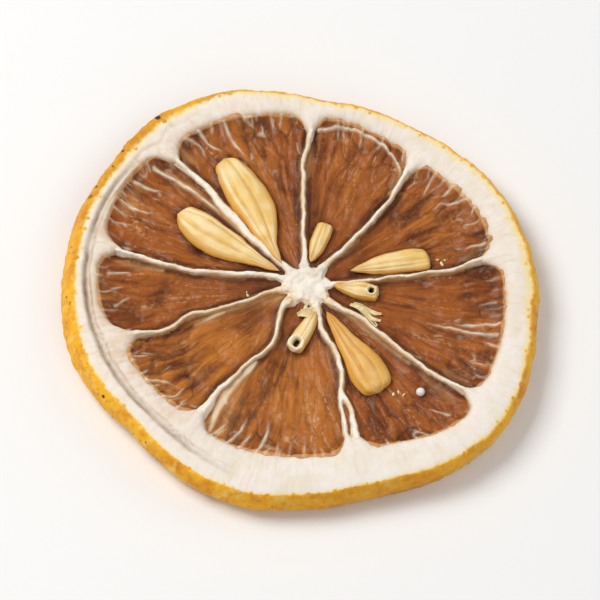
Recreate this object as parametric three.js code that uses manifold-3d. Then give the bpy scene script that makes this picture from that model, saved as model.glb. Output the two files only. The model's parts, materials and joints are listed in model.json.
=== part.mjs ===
// A dried lemon slice: one round cut across the fruit, with the pulp sunk between its membranes
// and seven seeds lying in it.
//
// Millimetres and degrees, +Z up. The origin lies under the middle of the slice's box, X runs along
// its widest measure, and the slice rests on three flat lands under its rind. Angles are turned
// from +X about the core, which is a little off the middle.

import * as THREE from 'three';
import { mergeVertices } from 'three/addons/utils/BufferGeometryUtils.js';
import Module from 'manifold-3d';

const { lerp, degToRad, radToDeg, clamp, euclideanModulo } = THREE.MathUtils;

// The plan.
const hubRadius = 2.4;       // white core in the middle
const wallHalf = 0.25;       // half a membrane's thickness
const wallFoot = 0.25;       // run of a membrane's side, from its crest down to the pulp
const cornerDrop = 1.5;      // how far a pulp segment's outer corners are rounded in
const pulpBank = 0.45;       // run of the bank between pulp and pith
const ringEdge = 18.6;       // where the rind's inner edge runs, its corners smoothed away
const rimKnots = [           // cut edge of the peel: angle, radius
  [0, 22.1], [30, 21.3], [58, 20.2], [78, 20.1], [90, 20.6], [104, 21.8], [122, 22.7],
  [150, 22.9], [180, 23.1], [210, 23.5], [235, 23.6], [255, 23.7], [270, 23.1], [287, 22.5],
  [302, 23.4], [318, 23.8], [336, 23.2],
];
const wallRadii = [3, 7, 12, 18];
const segments = [           // membrane's angle at each wall radius, then the pulp's outer radius
  { wall: [4, 6.5, 6.4, 9.3], reach: [18.2, 18.3, 17.7, 17.2] },
  { wall: [49, 48, 49, 53.3], reach: [17.3, 17.6, 18.0, 18.2] },
  { wall: [94, 92.7, 91.3, 88.2], reach: [18.3, 19.0, 19.9, 20.0] },
  { wall: [134, 135, 132.5, 132.8], reach: [20.4, 20.7, 20.6, 20.2] },
  { wall: [166, 169.4, 171, 168.5], reach: [20.2, 20.2, 19.9, 18.9] },
  { wall: [194, 196.5, 196.3, 199], reach: [18.6, 18.7, 18.4, 18.0] },
  { wall: [228, 242, 235, 234.8], reach: [18.8, 18.8, 18.6, 18.6] },
  { wall: [290, 290.6, 286, 284], reach: [18.4, 19.3, 20.7, 21.3] },
  { wall: [323, 325, 321.9, 322], reach: [20.4, 19.8, 19.2, 18.9] },
];

// The heights, where the slice lies flat.
const rindTop = 3.7;
const pithLip = 3.1;         // inner edge of the pith, above and below
const pithLipFoot = 0.5;
const wallTop = 2.85;
const wallBase = 0.6;
const pulpTop = 2.3;
const pulpBase = 0.95;
const pulpSag = 0.3;
const crease = { from: 150, to: 242, depth: 0.4 };                 // shrinkage fold in the pith
const peelBelly = 0.35;      // how far the peel swells between its cut edges
const peelFlare = { towards: 195, most: 0.5 };                     // the peel leans out on one side
const warp = { lands: 3, firstLand: 30, lift: 0.22, landShare: 0.3 };
const ripple = { waves: 5, height: 0.12 };

// The seeds: ends in plan, measured from the core, with width and thickness. A lean above 0 swells
// the side to the right of the line from blunt end to tip, and flattens the other.
const seedGap = 0.1;
const seedMiddle = 2.35;     // height of a seed's axis
const seedTaper = 0.6;       // below 1 the drop is widest near its blunt end
const seedFullness = 0.7;    // below 1 its ends are rounder
const seedRings = 10;
const seedSides = 12;
const seeds = [
  { blunt: [12.0, 2.9], tip: [4.4, 1.5], width: 2.7, thick: 1.7, lean: 0.2 },
  { blunt: [1.9, 6.9], tip: [0.5, 2.9], width: 1.8, thick: 1.3, lean: 0 },
  { blunt: [-8.1, 14.2], tip: [-2.6, 3.3], width: 4.0, thick: 2.1, lean: -0.25 },
  { blunt: [-12.6, 8.0], tip: [-2.9, 1.6], width: 3.7, thick: 2.1, lean: 0.15 },
  { blunt: [-1.4, -7.1], tip: [0.8, -3.4], width: 2.0, thick: 1.5, lean: 0, hollow: 0.45 },
  { blunt: [7.0, -11.6], tip: [2.0, -3.2], width: 3.9, thick: 2.1, lean: 0.25 },
  { blunt: [7.0, -0.9], tip: [2.9, -0.1], width: 2.0, thick: 1.5, lean: 0, hollow: 0.4 },
];

const peelColour = 0xf1e4cb;
const seedColour = 0xdca94a;

// Value at x on the smooth curve through [place, value] knots, which closes on itself if it has a period.
function along(knots, x, period = 0) {
  const count = knots.length;
  const knot = (i) => {
    if (!period) return knots[clamp(i, 0, count - 1)];
    const turn = Math.floor(i / count);
    const [place, value] = knots[i - turn * count];
    return [place + turn * period, value];
  };
  const slope = (i) => {
    const [before, after] = [knot(i - 1), knot(i + 1)];
    return (after[1] - before[1]) / (after[0] - before[0]);
  };
  const [first, last] = [knots[0][0], knots[count - 1][0]];
  const at = period ? first + euclideanModulo(x - first, period) : clamp(x, first, last);
  let i = 0;
  while (i < count - (period ? 1 : 2) && knot(i + 1)[0] <= at) i += 1;
  const [start, end] = [knot(i), knot(i + 1)];
  const run = end[0] - start[0];
  const t = (at - start[0]) / run;
  const rise = start[1] + (end[1] - start[1]) * t * t * (3 - 2 * t);
  return rise + run * t * (1 - t) * (slope(i) * (1 - t) - slope(i + 1) * t);
}

// A column is a line of points from the core out over the rind and back underneath. Each segment has
// one on its membrane's crest, one at the crest's edge, a fan of them over the pulp from foot to
// foot, and one at the edge of the next membrane's crest.
const pulpSteps = 6;
const columns = segments.flatMap((segment, index) => {
  const before = segments.at(index - 1);
  const next = segments[(index + 1) % segments.length];
  const turn = index + 1 === segments.length ? 360 : 0;
  const wall = wallRadii.map((radius, i) => [radius, segment.wall[i]]);
  const nextWall = wallRadii.map((radius, i) => [radius, next.wall[i] + turn]);
  const reach = segment.reach.map((radius, i) => [i / (segment.reach.length - 1), radius]);
  const edge = (share) => along(reach, share) - cornerDrop * Math.abs(2 * share - 1) ** 5;
  const pinch = (one, other, share) => lerp(one.reach.at(-1), other.reach[0], share) - cornerDrop;
  const fan = Array.from({ length: pulpSteps + 1 }, (_, i) => {
    const share = i / pulpSteps;
    return { wall, nextWall, share, edge: edge(share) };
  });
  return [
    { wall, crest: 0, edge: pinch(before, segment, 0.5) },
    { wall, crest: wallHalf, edge: pinch(before, segment, 0.75) },
    ...fan,
    { wall: nextWall, crest: -wallHalf, edge: pinch(segment, next, 0.25) },
  ];
});

function columnAngle(column, radius) {
  const reach = Math.max(radius, hubRadius);
  const turnBy = (distance) => radToDeg(distance / reach);
  if (column.crest !== undefined) return along(column.wall, radius) + turnBy(column.crest);
  const foot = turnBy(wallHalf + wallFoot);
  return lerp(along(column.wall, radius) + foot, along(column.nextWall, radius) - foot, column.share);
}

function creaseAt(angle) {
  const share = (angle - crease.from) / (crease.to - crease.from);
  return share > 0 && share < 1 ? crease.depth * Math.sin(Math.PI * share) ** 0.5 : 0;
}

function flareAt(angle) {
  return peelFlare.most * Math.max(0, Math.cos(degToRad(angle - peelFlare.towards)));
}

// Zero on the lands, and lifted between them.
function liftAt(angle) {
  const wave = -Math.cos(degToRad(warp.lands * (angle - warp.firstLand)));
  return warp.lift * Math.max(0, wave + warp.landShare);
}

// Radius and height of a column's points, from beside the core on top to beside it underneath.
function profile(column) {
  const onWall = column.crest !== undefined;
  const { edge } = column;
  const angle = euclideanModulo(columnAngle(column, edge), 360);
  const rim = along(rimKnots, angle, 360);
  const rind = (share) => lerp(lerp(edge, ringEdge, share), rim, share);
  const pulpEnds = [hubRadius + wallFoot * 2, edge - pulpBank];
  const pulpRow = (share, flat, sag) => {
    const bow = onWall ? 0 : Math.sin(Math.PI * share) * Math.sin(Math.PI * column.share);
    return [lerp(...pulpEnds, share), flat + sag * bow];
  };
  const topFace = onWall ? wallTop : pulpTop;
  const baseFace = onWall ? wallBase : pulpBase;
  const shares = [0, 0.25, 0.5, 0.75, 1];
  const flare = flareAt(angle);
  return [
    [hubRadius * 0.5, wallTop + 0.1],
    [hubRadius, wallTop],
    ...shares.map((share) => pulpRow(share, topFace, -pulpSag)),
    [edge, pithLip],
    [rind(0.14), rindTop - 0.25],
    [rind(0.36), rindTop],
    [rind(0.54), rindTop - 0.05 - creaseAt(angle)],
    [rind(0.72), rindTop],
    [rind(0.9), rindTop - 0.2],
    [rim, rindTop - 0.6],
    [rim + peelBelly + flare * 0.5, rindTop * 0.6],
    [rim + peelBelly * 0.8 + flare, rindTop * 0.3],
    [rim + flare * 0.8 - 0.25, 0.25],
    [rind(0.72), 0],
    [rind(0.25), 0],
    [edge, pithLipFoot],
    ...shares.toReversed().map((share) => pulpRow(share, baseFace, pulpSag * 0.3)),
    [hubRadius, wallBase],
    [hubRadius * 0.5, wallBase - 0.1],
  ];
}

function sliceGeometry() {
  const lines = columns.map((column) => profile(column).map(([radius, height]) => {
    const angle = columnAngle(column, radius);
    const out = (radius / along(rimKnots, angle, 360)) ** 2;
    const onTop = clamp(height / rindTop, 0, 1);
    const wave = ripple.height * Math.sin(degToRad(ripple.waves * angle)) * onTop;
    const turned = degToRad(angle);
    const z = height + (liftAt(angle) + wave) * out;
    return [radius * Math.cos(turned), radius * Math.sin(turned), z];
  }));
  const rows = lines[0].length;
  const points = lines.flat();
  const topPole = points.push([0, 0, wallTop + 0.1]) - 1;
  const basePole = points.push([0, 0, wallBase - 0.1]) - 1;
  const faces = [];
  lines.forEach((_, i) => {
    const here = i * rows;
    const there = ((i + 1) % lines.length) * rows;
    faces.push([topPole, here, there]);
    for (let row = 0; row < rows - 1; row += 1) {
      faces.push([here + row, here + row + 1, there + row + 1]);
      faces.push([here + row, there + row + 1, there + row]);
    }
    faces.push([basePole, there + rows - 1, here + rows - 1]);
  });
  const geometry = new THREE.BufferGeometry();
  geometry.setAttribute('position', new THREE.Float32BufferAttribute(points.flat(), 3));
  geometry.setIndex(faces.flat());
  return geometry;
}

// A flattened drop along the line from its blunt end to its tip, larger by grow on every side.
function seedGeometry({ blunt, tip, width, thick, lean }, grow = 0) {
  const span = new THREE.Vector2(tip[0] - blunt[0], tip[1] - blunt[1]);
  const halfWidth = (share) => 0.5 * Math.sin(Math.PI * clamp(share, 0, 1) ** seedTaper) ** seedFullness;
  const outline = Array.from({ length: seedRings + 1 }, (_, i) => {
    const share = 0.5 - 0.5 * Math.cos(Math.PI * i / seedRings);
    const onAxis = i === 0 || i === seedRings;
    return new THREE.Vector2(onAxis ? 0 : halfWidth(share), share - 0.5);
  });
  const geometry = new THREE.LatheGeometry(outline, seedSides);
  const points = geometry.getAttribute('position');
  for (let i = 0; i < points.count; i += 1) {
    const share = points.getY(i) + 0.5;
    const onAxis = share < 1e-6 || share > 1 - 1e-6;
    points.setX(i, points.getX(i) + (onAxis ? 0 : lean * halfWidth(share)));
  }
  geometry.scale(width + 2 * grow, span.length() + 2 * grow, thick + 2 * grow);
  geometry.rotateZ(span.angle() - Math.PI / 2);
  geometry.translate((blunt[0] + tip[0]) / 2, (blunt[1] + tip[1]) / 2, seedMiddle);
  return geometry;
}

// The kernel's opening in a seed that the knife went through.
function hollowGeometry({ blunt, tip, width, thick, hollow }) {
  const share = 0.26;
  const middle = [lerp(blunt[0], tip[0], share), lerp(blunt[1], tip[1], share)];
  const geometry = new THREE.SphereGeometry(hollow, 10, 6);
  geometry.scale(width * 0.5, width * 0.5, 1.2);
  geometry.translate(middle[0], middle[1], seedMiddle + thick / 2);
  return geometry;
}

const wasm = await Module();
wasm.setup();

function solid(geometry) {
  const bare = geometry.clone();
  bare.deleteAttribute('normal');
  bare.deleteAttribute('uv');
  const merged = mergeVertices(bare, 1e-4);
  return new wasm.Manifold(new wasm.Mesh({
    numProp: 3,
    vertProperties: merged.getAttribute('position').array,
    triVerts: new Uint32Array(merged.index.array),
  }));
}

function mesh(name, body, colour, roughness) {
  const { vertProperties, triVerts } = body.getMesh();
  const geometry = new THREE.BufferGeometry();
  geometry.setAttribute('position', new THREE.BufferAttribute(vertProperties, 3));
  geometry.setIndex(new THREE.BufferAttribute(triVerts, 1));
  geometry.computeVertexNormals();
  const material = new THREE.MeshStandardMaterial({ color: colour, roughness, metalness: 0 });
  const piece = new THREE.Mesh(geometry, material);
  piece.name = name;
  return piece;
}

const lemon = new THREE.Group();

let slice = solid(sliceGeometry());
seeds.forEach((seed, index) => {
  slice = slice.subtract(solid(seedGeometry(seed, seedGap)));
  let body = solid(seedGeometry(seed));
  if (seed.hollow) body = body.subtract(solid(hollowGeometry(seed)));
  lemon.add(mesh(`seed_${index + 1}`, body, seedColour, 0.4));
});
lemon.add(mesh('slice', slice, peelColour, 0.7));

const box = new THREE.Box3().setFromObject(lemon);
const middle = box.getCenter(new THREE.Vector3());
lemon.position.set(-middle.x, -middle.y, -box.min.z);

export default lemon;
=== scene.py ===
import json
import math
import random

import bpy
import numpy as np
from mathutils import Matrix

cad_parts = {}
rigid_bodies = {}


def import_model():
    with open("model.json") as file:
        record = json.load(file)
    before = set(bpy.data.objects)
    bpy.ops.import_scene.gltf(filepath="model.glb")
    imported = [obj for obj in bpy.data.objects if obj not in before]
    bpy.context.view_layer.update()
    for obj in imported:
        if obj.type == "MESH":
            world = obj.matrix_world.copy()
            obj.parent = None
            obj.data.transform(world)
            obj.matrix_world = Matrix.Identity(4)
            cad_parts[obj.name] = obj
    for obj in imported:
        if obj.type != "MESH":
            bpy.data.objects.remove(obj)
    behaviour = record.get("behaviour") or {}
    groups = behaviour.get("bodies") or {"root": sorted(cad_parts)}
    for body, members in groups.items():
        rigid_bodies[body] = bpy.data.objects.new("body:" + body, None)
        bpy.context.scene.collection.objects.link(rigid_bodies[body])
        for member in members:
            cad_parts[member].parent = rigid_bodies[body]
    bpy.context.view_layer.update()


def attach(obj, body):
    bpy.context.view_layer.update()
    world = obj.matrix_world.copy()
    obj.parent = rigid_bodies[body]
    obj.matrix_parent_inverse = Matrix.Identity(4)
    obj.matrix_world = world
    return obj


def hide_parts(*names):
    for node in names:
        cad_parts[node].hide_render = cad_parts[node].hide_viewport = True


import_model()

mm = 0.001
random.seed(11)


# ---- the lie of the slice, in millimetres and degrees about the core ----

slicePlan = {
    "core": (0.643, 1.077),      # off the middle of the box
    "hub": 2.4,
    "wallHalf": 0.22,
    "rimKnots": [(0, 22.1), (30, 21.3), (58, 20.2), (75, 20.1), (84, 20.1), (90, 20.4), (98, 21.3),
                 (106, 22.3), (114, 23.0), (121, 23.4), (128, 23.8), (136, 23.5), (142, 23.3), (150, 23.2),
                 (160, 23.25),
                 (180, 23.1), (200, 23.3), (210, 23.1), (222, 22.75), (235, 23.25), (246, 23.6), (256, 23.6),
                 (270, 23.1), (281, 22.8), (291, 23.1), (302, 23.9), (310, 24.3), (318, 24.4), (327, 24.0),
                 (336, 23.3), (347, 22.5)],
    "walls": [                   # each membrane's radius and angle, out from the core
        [(3, 4), (6, 5.8), (11, 6.3), (13, 6.5), (15, 7.1), (17, 8.75), (19, 10)],
        [(3, 50), (4, 49.5), (6, 48.1), (8, 48.1), (10, 48.5), (12, 49.1), (14, 50.6), (16, 51.9),
         (18, 53.3)],
        [(3, 94), (8, 92.3), (12, 91.3), (14, 91.0), (16, 89.0), (18, 88.1)],
        [(3, 134.5), (6, 135.4), (10, 133.8), (14, 132), (16, 131.9), (18, 132.8)],
        [(3, 161), (5, 166), (7, 169.4), (11, 171.3), (15, 170), (19, 168.5)],
        [(3, 190), (4, 192), (6, 196.2), (9, 196.8), (12, 196.5), (14, 199.4), (15, 200), (17, 198.6),
         (19, 198.1)],
        [(3, 224), (4, 230), (5, 236), (6, 241.5), (7, 242.8), (8, 240.6), (10, 237), (12, 235), (14, 233.8),
         (18, 235)],
        [(3, 291), (5, 287.8), (7, 290.6), (8, 291.4), (10, 289.4), (12, 286.2), (14, 285.5), (18, 284.2)],
        [(3, 321), (6, 325.6), (8, 323.8), (10, 322.5), (15, 321.5), (20, 322.9)],
    ],
    "reach": [                   # how far out each segment's pulp comes, from one membrane to the next
        (18.2, 18.3, 17.7, 17.2), (17.3, 17.6, 18.0, 18.2), (18.3, 19.0, 19.9, 20.0),
        (20.4, 20.7, 20.6, 20.2), (20.2, 20.2, 19.9, 18.9), (18.6, 18.7, 18.4, 18.0),
        (18.8, 18.8, 18.6, 18.6), (18.4, 19.3, 20.7, 21.3), (20.4, 19.8, 19.2, 18.9),
    ],
    "cusp": (2.0, 2.2, 0.12),    # depth and half width of the pith's points, and how blunt they are
    "ringEdge": 18.6,
    "pulpTop": 2.3,
    "pulpBase": 0.95,
    "pulpSag": 0.3,
    "wallTop": 2.85,
    "wallBase": 0.6,
    "lift": 0.22,                # between the three lands it rests on
    "firstLand": 30,
    "landShare": 0.3,
    "ripple": 0.12,
    "rippleTop": 3.7,
    "sway": [(0.05, 1.7, 2.1), (0.02, 4.3, 1.3)],    # the membranes' small waves: width, pace and start
}
wallCount = len(slicePlan["walls"])


def smoothStep(low, high, x):
    t = np.clip((x - low) / (high - low), 0, 1)
    return t * t * (3 - 2 * t)


def curveThrough(knots, x, period=0):
    # value at x on the smooth curve through (place, value) knots
    places = np.array([k[0] for k in knots], float)
    values = np.array([k[1] for k in knots], float)
    x = np.asarray(x, float)
    if period:
        x = places[0] + np.mod(x - places[0], period)
        places = np.concatenate([places[-2:] - period, places, places[:2] + period])
        values = np.concatenate([values[-2:], values, values[:2]])
    else:
        x = np.clip(x, places[0], places[-1])
    before = np.maximum(np.arange(len(places)) - 1, 0)
    after = np.minimum(np.arange(len(places)) + 1, len(places) - 1)
    slopes = (values[after] - values[before]) / (places[after] - places[before])
    i = np.clip(np.searchsorted(places, x, side="right") - 1, 0, len(places) - 2)
    run = places[i + 1] - places[i]
    t = (x - places[i]) / run
    rise = values[i] + (values[i + 1] - values[i]) * t * t * (3 - 2 * t)
    return rise + run * t * (1 - t) * (slopes[i] * (1 - t) - slopes[i + 1] * t)


def softNoise(points, size, seed=0):
    # gradient noise from -1 to 1 over points, one swell every size
    cell = np.asarray(points, float) / size
    base = np.floor(cell).astype(np.int64)
    part = cell - base
    fade = part * part * part * (part * (part * 6 - 15) + 10)
    total = np.zeros(len(cell))
    for corner in range(8):
        step = np.array([corner & 1, corner >> 1 & 1, corner >> 2 & 1])
        at = base + step
        mixed = at[:, 0] * 374761393 + at[:, 1] * 668265263 + at[:, 2] * 2147483647 + seed * 1274126177
        mixed = (mixed ^ (mixed >> 13)) * 1274126177 & 0xFFFFFFFF
        mixed = (mixed ^ (mixed >> 16)) & 0xFFFFFFFF
        lean = np.stack([mixed & 1023, mixed >> 10 & 1023, mixed >> 20 & 1023], 1) / 511.5 - 1
        weight = np.prod(np.where(step == 1, fade, 1 - fade), axis=1)
        total += weight * np.sum(lean * (part - step), axis=1)
    return np.clip(total * 1.25, -1, 1)


def layeredNoise(points, size, layers=3, seed=0):
    total = 0
    for layer in range(layers):
        total = total + softNoise(points, size * 0.5 ** layer, seed + layer) * 0.55 ** layer
    return total


def foldNoise(points, size, layers=2, seed=0):
    # sharp-crested folds, from 0 in the hollows to 1 on the crests
    total = 0
    weight = 0
    for layer in range(layers):
        share = 0.5 ** layer
        total = total + (1 - np.abs(softNoise(points, size * share, seed + layer)) * 2.2).clip(0, 1) * share
        weight += share
    return total / weight


def swells(points, rows):
    # noises added up, each with its height, size, layers and seed
    return sum(height * layeredNoise(points, size, layers, seed) for height, size, layers, seed in rows)


def bell(distance, width):
    return np.exp(-(distance / width) ** 2)


def fading(distance, width):
    # 1 up to nothing, and less and less beyond it
    return np.exp(-np.maximum(distance, 0) / width)


def plane(radius, angle, third=0):
    # points from a radius and an angle about the core
    turn = np.radians(angle)
    return np.stack([radius * np.cos(turn), radius * np.sin(turn), turn * 0 + third], 1)


def upright(height):
    return np.stack([height * 0, height * 0, height], 1)


def angleFrom(angle, other):
    # how far an angle lies beyond the other one, from -180 to 180
    return np.mod(angle - other + 180, 360) - 180


def rimAt(angle):
    return curveThrough(slicePlan["rimKnots"], angle, 360)


def wallAngle(index, radius):
    # a membrane's angle at a radius; counting on past the last one goes round again
    turns, number = divmod(index, wallCount)
    sway = sum(width * np.sin(radius * pace + number * start) for width, pace, start in slicePlan["sway"])
    sway = sway * smoothStep(2.5, 5, radius)
    middle = curveThrough(slicePlan["walls"][number], radius)
    return middle + np.degrees(sway / np.maximum(radius, 1)) + 360 * turns


# this membrane splits before it reaches the rind
forkWall = {"parent": 7, "from": 11.6, "opens": 2.2, "apart": 3.4, "cuspShare": 0.75}


def forkAngles(radius):
    opening = smoothStep(forkWall["from"], forkWall["from"] + forkWall["opens"], radius)
    shut = 1 - 0.25 * smoothStep(16, 19, radius)
    half = forkWall["apart"] / 2 * opening * shut
    middle = wallAngle(forkWall["parent"], radius)
    return middle + half, middle - half


def cuspAngle(index):
    # where a membrane meets the pith
    before = slicePlan["reach"][(index - 1) % wallCount][-1]
    after = slicePlan["reach"][index % wallCount][0]
    return float(wallAngle(index, np.array(min(before, after) - 1.3)))


def segmentOf(angle):
    # which segment an angle lies in, and how far across it, at the rind
    firsts = np.array([cuspAngle(i) for i in range(wallCount + 1)])
    turned = firsts[0] + np.mod(np.asarray(angle, float) - firsts[0], 360)
    index = np.clip(np.searchsorted(firsts, turned, side="right") - 1, 0, wallCount - 1)
    share = (turned - firsts[index]) / (firsts[index + 1] - firsts[index])
    return index, share, np.minimum(share, 1 - share) * (firsts[index + 1] - firsts[index])


def reachAt(index, share):
    knots = slicePlan["reach"][index]
    return curveThrough([(i / (len(knots) - 1), r) for i, r in enumerate(knots)], share)


def pithEdge(angle):
    # inner edge of the pith: the pulp's reach, drawn in to a point at every membrane
    index, share, off = segmentOf(angle)
    distance = np.radians(off) * slicePlan["ringEdge"]
    reach = np.zeros(len(angle))
    for i in range(wallCount):
        here = index == i
        inside = reachAt(i, share[here])
        neighbour = np.where(share[here] < 0.5, reachAt(i - 1, 1.0), reachAt((i + 1) % wallCount, 0.0))
        near = 0.5 * bell(distance[here], 0.9)
        reach[here] = inside * (1 - near) + neighbour * near
    turned = angleFrom(np.asarray(angle), cuspAngle(forkWall["parent"]))
    forkHalf = forkWall["apart"] / 2 * forkWall["cuspShare"]
    forked = np.radians(np.abs(np.abs(turned) - forkHalf)) * slicePlan["ringEdge"]
    distance = np.where(np.abs(turned) < 8, forked, distance)
    depth, halfWidth, blunt = slicePlan["cusp"]
    return reach - depth * np.clip(1 - np.maximum(distance - blunt, 0) / halfWidth, 0, 1) ** 2.4


def settle(points):
    # lifts the slice between its lands and gives its top a slow ripple, as it dried
    x, y, z = points[:, 0], points[:, 1], points[:, 2]
    angle = np.degrees(np.arctan2(y, x))
    out = (np.hypot(x, y) / rimAt(angle)) ** 2
    wave = -np.cos(np.radians(3 * (angle - slicePlan["firstLand"]))) + slicePlan["landShare"]
    lift = slicePlan["lift"] * np.maximum(0, wave)
    ripple = slicePlan["ripple"] * np.sin(np.radians(5 * angle)) * np.clip(z / slicePlan["rippleTop"], 0, 1)
    return np.stack([x, y, z + (lift + ripple) * out], 1)


def readPoints(piece):
    points = np.empty(len(piece.data.vertices) * 3)
    piece.data.vertices.foreach_get("co", points)
    return points.reshape(-1, 3)


def writePoints(piece, points):
    piece.data.vertices.foreach_set("co", np.ascontiguousarray(points, float).ravel())
    piece.data.update()


def placePoints(piece, points):
    # from millimetres about the core to the frame
    placed = settle(points)
    placed[:, 0] += slicePlan["core"][0]
    placed[:, 1] += slicePlan["core"][1]
    writePoints(piece, placed * mm)


def readNormals(piece):
    normals = np.empty(len(piece.data.vertices) * 3)
    piece.data.vertex_normals.foreach_get("vector", normals)
    return normals.reshape(-1, 3)


def pushOut(piece, depth):
    # moves the surface along its own normals, in millimetres
    writePoints(piece, readPoints(piece) + readNormals(piece) * depth[:, None] * mm)


def addMarks(piece, **marks):
    # values or vectors for every vertex, which the finish reads
    for name, values in marks.items():
        values = np.asarray(values, float)
        vector = values.ndim == 2
        layer = piece.data.attributes.new(name, "FLOAT_VECTOR" if vector else "FLOAT", "POINT")
        flat = np.ascontiguousarray(values, np.float32).ravel()
        layer.data.foreach_set("vector" if vector else "value", flat)


def clearSelection():
    if bpy.context.object and bpy.context.object.mode != "OBJECT":
        bpy.ops.object.mode_set(mode="OBJECT")
    bpy.ops.object.select_all(action="DESELECT")


def pick(piece):
    clearSelection()
    piece.select_set(True)
    bpy.context.view_layer.objects.active = piece


def applyAll(piece):
    pick(piece)
    for modifier in list(piece.modifiers):
        bpy.ops.object.modifier_apply(modifier=modifier.name)


def tidyMesh(piece, merge=0.00001):
    pick(piece)
    bpy.ops.object.mode_set(mode="EDIT")
    bpy.ops.mesh.select_all(action="SELECT")
    bpy.ops.mesh.remove_doubles(threshold=merge)
    bpy.ops.mesh.normals_make_consistent(inside=False)
    bpy.ops.object.mode_set(mode="OBJECT")
    bpy.ops.object.shade_smooth()


def newSlab(columns, rows):
    # a grid pulled down into a closed slab; where each vertex lies along and across, and if it is on top
    depth = 0.1
    bpy.ops.mesh.primitive_grid_add(x_subdivisions=columns, y_subdivisions=rows, size=1, location=(0, 0, 0))
    slab = bpy.context.object
    bpy.ops.object.mode_set(mode="EDIT")
    bpy.ops.mesh.select_all(action="SELECT")
    bpy.ops.mesh.extrude_region_move(TRANSFORM_OT_translate={"value": (0, 0, -depth)})
    bpy.ops.mesh.select_all(action="SELECT")
    bpy.ops.mesh.normals_make_consistent(inside=False)
    bpy.ops.object.mode_set(mode="OBJECT")
    start = readPoints(slab)
    return slab, start[:, 0] + 0.5, start[:, 1] + 0.5, start[:, 2] > -depth / 2


def joinPieces(pieces, name):
    clearSelection()
    for piece in pieces:
        piece.select_set(True)
    bpy.context.view_layer.objects.active = pieces[0]
    if len(pieces) > 1:
        bpy.ops.object.join()
    whole = bpy.context.object
    whole.name = name
    whole.data.name = name
    return whole


def finishPiece(piece, name, slotName, material, *nodes):
    piece.name = name
    piece.data.name = name
    piece.data.materials.clear()
    piece.data.materials.append(material)
    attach(piece, "root")
    if nodes:
        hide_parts(*nodes)
    print("made", name, len(piece.data.polygons), "faces")


# ---- finishes ----

class Wire:
    # a socket that sums can be written on
    def __init__(self, tree, socket):
        self.tree = tree
        self.socket = socket

    def sum(self, operation, first, second=None, clamp=False):
        node = self.tree.nodes.new("ShaderNodeMath")
        node.operation = operation
        node.use_clamp = clamp
        for slot, item in zip(node.inputs, (first, second)):
            if isinstance(item, Wire):
                self.tree.links.new(item.socket, slot)
            elif item is not None:
                slot.default_value = item
        return Wire(self.tree, node.outputs[0])

    def __add__(self, other):
        return self.sum("ADD", self, other)

    def __radd__(self, other):
        return self.sum("ADD", other, self)

    def __sub__(self, other):
        return self.sum("SUBTRACT", self, other)

    def __rsub__(self, other):
        return self.sum("SUBTRACT", other, self)

    def __mul__(self, other):
        return self.sum("MULTIPLY", self, other)

    def __rmul__(self, other):
        return self.sum("MULTIPLY", other, self)

    def most(self, other):
        return self.sum("MAXIMUM", self, other)

    def held(self):
        # kept between 0 and 1
        return self.sum("ADD", self, 0.0, clamp=True)


class Finish:
    def __init__(self, name):
        self.material = bpy.data.materials.new(name)
        self.material.use_nodes = True
        self.tree = self.material.node_tree
        self.tree.nodes.clear()

    def node(self, kind, settings=None, inputs=None, output=0):
        made = self.tree.nodes.new("ShaderNode" + kind)
        for key, value in (settings or {}).items():
            if key == "stops":
                ramp = made.color_ramp
                while len(ramp.elements) < len(value):
                    ramp.elements.new(0.5)
                for element, (place, colour) in zip(ramp.elements, value):
                    element.position = place
                    element.color = (*colour, 1)
            else:
                setattr(made, key, value)
        for key, value in (inputs or {}).items():
            slot = made.inputs[key]
            if isinstance(value, Wire):
                self.tree.links.new(value.socket, slot)
            else:
                slot.default_value = value
        return Wire(self.tree, made.outputs[output])

    def mark(self, name, vector=False):
        return self.node("Attribute", {"attribute_name": name}, output="Vector" if vector else "Fac")

    def place(self):
        return self.node("TexCoord", output="Object")

    def noise(self, at, scale, detail=4.0, roughness=0.55, distortion=0.0):
        return self.node("TexNoise", inputs={"Vector": at, "Scale": scale, "Detail": detail,
                                             "Roughness": roughness, "Distortion": distortion})

    def cells(self, at, scale, feature="F1", output="Distance", randomness=1.0):
        return self.node("TexVoronoi", {"feature": feature},
                         {"Vector": at, "Scale": scale, "Randomness": randomness}, output)

    def step(self, value, low, high, start=0.0, end=1.0):
        return self.node("MapRange", {"interpolation_type": "SMOOTHSTEP"},
                         {"Value": value, "From Min": low, "From Max": high, "To Min": start, "To Max": end})

    def mix(self, factor, first, second, blend="MIX"):
        node = self.tree.nodes.new("ShaderNodeMix")
        node.data_type = "RGBA"
        node.blend_type = blend
        for slot, item in ((0, factor), (6, first), (7, second)):
            if isinstance(item, Wire):
                self.tree.links.new(item.socket, node.inputs[slot])
            elif slot:
                node.inputs[slot].default_value = (*item, 1)
            else:
                node.inputs[slot].default_value = item
        return Wire(self.tree, node.outputs[2])

    def bump(self, height, distance, strength=1.0, under=None):
        inputs = {"Height": height, "Distance": distance, "Strength": strength}
        if under:
            inputs["Normal"] = under
        return self.node("Bump", inputs=inputs)

    def surface(self, **inputs):
        names = {key.replace("_", " ").replace("Ior", "IOR"): value for key, value in inputs.items()}
        shader = self.node("BsdfPrincipled", inputs=names, output="BSDF")
        end = self.tree.nodes.new("ShaderNodeOutputMaterial")
        self.tree.links.new(shader.socket, end.inputs["Surface"])
        return self.material


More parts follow.
